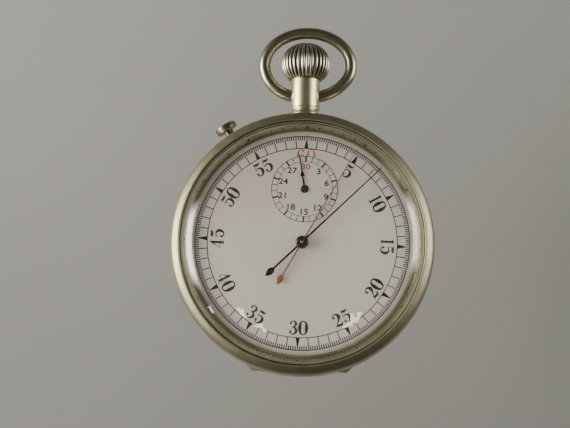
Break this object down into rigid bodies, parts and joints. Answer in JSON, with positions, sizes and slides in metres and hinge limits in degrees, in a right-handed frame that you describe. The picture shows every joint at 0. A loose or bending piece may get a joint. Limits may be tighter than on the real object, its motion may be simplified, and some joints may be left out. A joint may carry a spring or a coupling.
{
  "type": "mechanical stopwatch",
  "caption": "Split-seconds pocket stopwatch with a fluted crown, oval bow, side button, enamel dial with minute register, domed crystal, hinged back and full movement.",
  "frame": {"origin": "centre of the flat of the back cover, which the watch lies on", "axes": "+Z out of the dial, +Y towards the crown at 12 o'clock, +X towards 3 o'clock"},
  "size_m": [0.054, 0.0725, 0.0151],
  "materials": {
    "nickel_case": "satin nickel, slightly yellowed",
    "nickel_plate": "striped nickel",
    "gilt_brass": "polished gilt",
    "polished_steel": "polished",
    "blued_steel": "blued",
    "ruby": "polished ruby",
    "white_enamel": "glossy",
    "black_hands": "gloss black",
    "red_hands": "gloss red",
    "crystal_glass": "clear"
  },
  "bodies": {
    "case": {"case_band": "nickel_case", "pendant": "nickel_case", "bezel": "nickel_case", "crystal": "crystal_glass", "hinge_pin": "nickel_case", "main_plate": "nickel_plate", "dial": "white_enamel", "dial_feet": "gilt_brass", "barrel_bridge": "nickel_plate", "train_bridge": "nickel_plate", "balance_cock": "nickel_plate", "pallet_cock": "nickel_plate", "bridge_screws": "blued_steel", "case_screws": "polished_steel", "hairspring": "blued_steel", "button_tube": "nickel_case", "lever_studs": "polished_steel", "jewels": "ruby"},
    "bow": {"bow": "nickel_case"},
    "winding_pinion": {"winding_pinion": "polished_steel"},
    "crown": {"crown": "nickel_case", "stem": "polished_steel"},
    "split_button": {"split_button": "nickel_case"},
    "back_cover": {"back_cover": "nickel_case"},
    "dust_cover": {"dust_cover": "nickel_case"},
    "sweep": {"sweep_hand": "black_hands", "fourth_wheel": "gilt_brass", "sweep_heart": "polished_steel"},
    "split": {"split_hand": "red_hands", "split_wheel": "gilt_brass"},
    "third": {"third_wheel": "gilt_brass"},
    "second": {"second_wheel": "gilt_brass"},
    "barrel": {"barrel": "gilt_brass", "barrel_cap": "gilt_brass", "mainspring": "polished_steel"},
    "barrel_arbor": {"barrel_arbor": "polished_steel", "ratchet_wheel": "polished_steel"},
    "crown_wheel": {"crown_wheel": "polished_steel"},
    "transmission": {"transmission_wheel": "polished_steel"},
    "click": {"click": "polished_steel"},
    "escape": {"escape_wheel": "polished_steel"},
    "pallet": {"pallet_fork": "polished_steel"},
    "balance": {"balance_wheel": "gilt_brass", "balance_staff": "polished_steel"},
    "regulator": {"regulator": "polished_steel"},
    "idler": {"minute_idler": "gilt_brass"},
    "minute": {"minute_hand": "black_hands", "minute_wheel": "gilt_brass"},
    "operating_lever": {"operating_lever": "polished_steel"},
    "column_wheel": {"column_wheel": "polished_steel"},
    "hammer": {"reset_hammer": "polished_steel"},
    "clamp_left": {"split_clamp_left": "polished_steel"},
    "clamp_right": {"split_clamp_right": "polished_steel"}
  },
  "joints": [
    {"name": "bow_swing", "type": "hinge", "parent": "case", "child": "bow", "pos_m": [0, 0.0304, 0.006], "axis": [1, 0, 0], "range_deg": [-95, 95]},
    {"name": "crown_wind", "type": "hinge", "parent": "case", "child": "winding_pinion", "pos_m": [0, 0.0191, 0.006], "axis": [0, 1, 0], "continuous": true},
    {"name": "crown_push", "type": "slide", "parent": "winding_pinion", "child": "crown", "axis": [0, -1, 0], "range_m": [0, 0.0008], "stiffness_N_per_m": 2500, "springref_m": -0.0004},
    {"name": "split_button_push", "type": "slide", "parent": "case", "child": "split_button", "axis": [0.5635, -0.8261, 0], "range_m": [0, 0.0007], "stiffness_N_per_m": 3200, "springref_m": -0.0003},
    {"name": "back_cover_open", "type": "hinge", "parent": "case", "child": "back_cover", "pos_m": [0, -0.02525, 0.0039], "axis": [-1, 0, 0], "range_deg": [0, 105]},
    {"name": "dust_cover_open", "type": "hinge", "parent": "case", "child": "dust_cover", "pos_m": [0, -0.02525, 0.0039], "axis": [-1, 0, 0], "range_deg": [0, 63]},
    {"name": "sweep_seconds", "type": "hinge", "parent": "case", "child": "sweep", "pos_m": [0, 0, 0.007], "axis": [0, 0, -1], "continuous": true},
    {"name": "third_spin", "type": "hinge", "parent": "case", "child": "third", "pos_m": [0.0023, -0.0057, 0.006], "axis": [0, 0, -1], "continuous": true},
    {"name": "second_spin", "type": "hinge", "parent": "case", "child": "second", "pos_m": [0.00857, -0.00392, 0.006], "axis": [0, 0, -1], "continuous": true},
    {"name": "barrel_spin", "type": "hinge", "parent": "case", "child": "barrel", "pos_m": [0.01352, 0.00362, 0.0065], "axis": [0, 0, -1], "continuous": true},
    {"name": "escape_spin", "type": "hinge", "parent": "case", "child": "escape", "pos_m": [-0.00582, -0.00212, 0.006], "axis": [0, 0, -1], "continuous": true},
    {"name": "idler_spin", "type": "hinge", "parent": "case", "child": "idler", "pos_m": [-0.00244, 0.00559, 0.006], "axis": [0, 0, -1], "continuous": true},
    {"name": "minute_register", "type": "hinge", "parent": "case", "child": "minute", "pos_m": [0.0003, 0.0109, 0.007], "axis": [0, 0, -1], "continuous": true},
    {"name": "split_seconds", "type": "hinge", "parent": "case", "child": "split", "pos_m": [0, 0, 0.009], "axis": [0, 0, -1], "continuous": true},
    {"name": "crown_wheel_spin", "type": "hinge", "parent": "case", "child": "crown_wheel", "pos_m": [0, 0.0159, 0.00355], "axis": [0, 0, -1], "continuous": true},
    {"name": "transmission_spin", "type": "hinge", "parent": "case", "child": "transmission", "pos_m": [0.00751, 0.0137, 0.00355], "axis": [0, 0, -1], "continuous": true},
    {"name": "barrel_arbor_wind", "type": "hinge", "parent": "case", "child": "barrel_arbor", "pos_m": [0.01352, 0.00362, 0.005], "axis": [0, 0, -1], "continuous": true},
    {"name": "click_lift", "type": "hinge", "parent": "case", "child": "click", "pos_m": [0.01873, -0.00258, 0.0035], "axis": [0, 0, -1], "range_deg": [0, 4], "stiffness_Nm_per_rad": 0.002, "springref_deg": -11.46},
    {"name": "pallet_swing", "type": "hinge", "parent": "case", "child": "pallet", "pos_m": [-0.00839, -0.00518, 0.0063], "axis": [0, 0, -1], "range_deg": [-5, 5]},
    {"name": "balance_swing", "type": "hinge", "parent": "case", "child": "balance", "pos_m": [-0.01059, -0.00933, 0.0045], "axis": [0, 0, -1], "range_deg": [-150, 150], "stiffness_Nm_per_rad": 0.00001},
    {"name": "regulator_turn", "type": "hinge", "parent": "case", "child": "regulator", "pos_m": [-0.01059, -0.00933, 0.0026], "axis": [0, 0, -1], "range_deg": [-12, 12]},
    {"name": "operating_lever_swing", "type": "hinge", "parent": "case", "child": "operating_lever", "pos_m": [-0.0155, 0.007, 0.0062], "axis": [0, 0, 1], "range_deg": [-4.2, 0]},
    {"name": "column_wheel_turn", "type": "hinge", "parent": "case", "child": "column_wheel", "pos_m": [-0.01, 0.005, 0.0057], "axis": [0, 0, -1], "continuous": true},
    {"name": "hammer_lift", "type": "hinge", "parent": "case", "child": "hammer", "pos_m": [-0.0046, 0.0172, 0.0057], "axis": [0, 0, -1], "range_deg": [0, 3], "stiffness_Nm_per_rad": 0.01, "springref_deg": -5.73},
    {"name": "clamp_left_close", "type": "hinge", "parent": "case", "child": "clamp_left", "pos_m": [-0.0065, 0.0066, 0.0086], "axis": [0, 0, 1], "range_deg": [0, 3.4]},
    {"name": "clamp_right_close", "type": "hinge", "parent": "case", "child": "clamp_right", "pos_m": [-0.0013, 0.00917, 0.0086], "axis": [0, 0, -1], "range_deg": [0, 3.4]}
  ],
  "couplings": [
    {"joint": "third_spin", "follows": "sweep_seconds", "ratio": -0.13333},
    {"joint": "second_spin", "follows": "sweep_seconds", "ratio": 0.016667},
    {"joint": "barrel_spin", "follows": "sweep_seconds", "ratio": -0.0025641},
    {"joint": "escape_spin", "follows": "sweep_seconds", "ratio": -10},
    {"joint": "idler_spin", "follows": "sweep_seconds", "ratio": -0.041667},
    {"joint": "minute_register", "follows": "sweep_seconds", "ratio": 0.033333},
    {"joint": "crown_wheel_spin", "follows": "crown_wind", "ratio": -0.75},
    {"joint": "transmission_spin", "follows": "crown_wind", "ratio": 0.375},
    {"joint": "barrel_arbor_wind", "follows": "crown_wind", "ratio": -0.3},
    {"joint": "dust_cover_open", "follows": "back_cover_open", "ratio": 0.6},
    {"joint": "operating_lever_swing", "follows": "crown_push", "rad_per_m": -68},
    {"joint": "clamp_left_close", "follows": "split_button_push", "rad_per_m": 57},
    {"joint": "clamp_right_close", "follows": "split_button_push", "rad_per_m": 57}
  ]
}
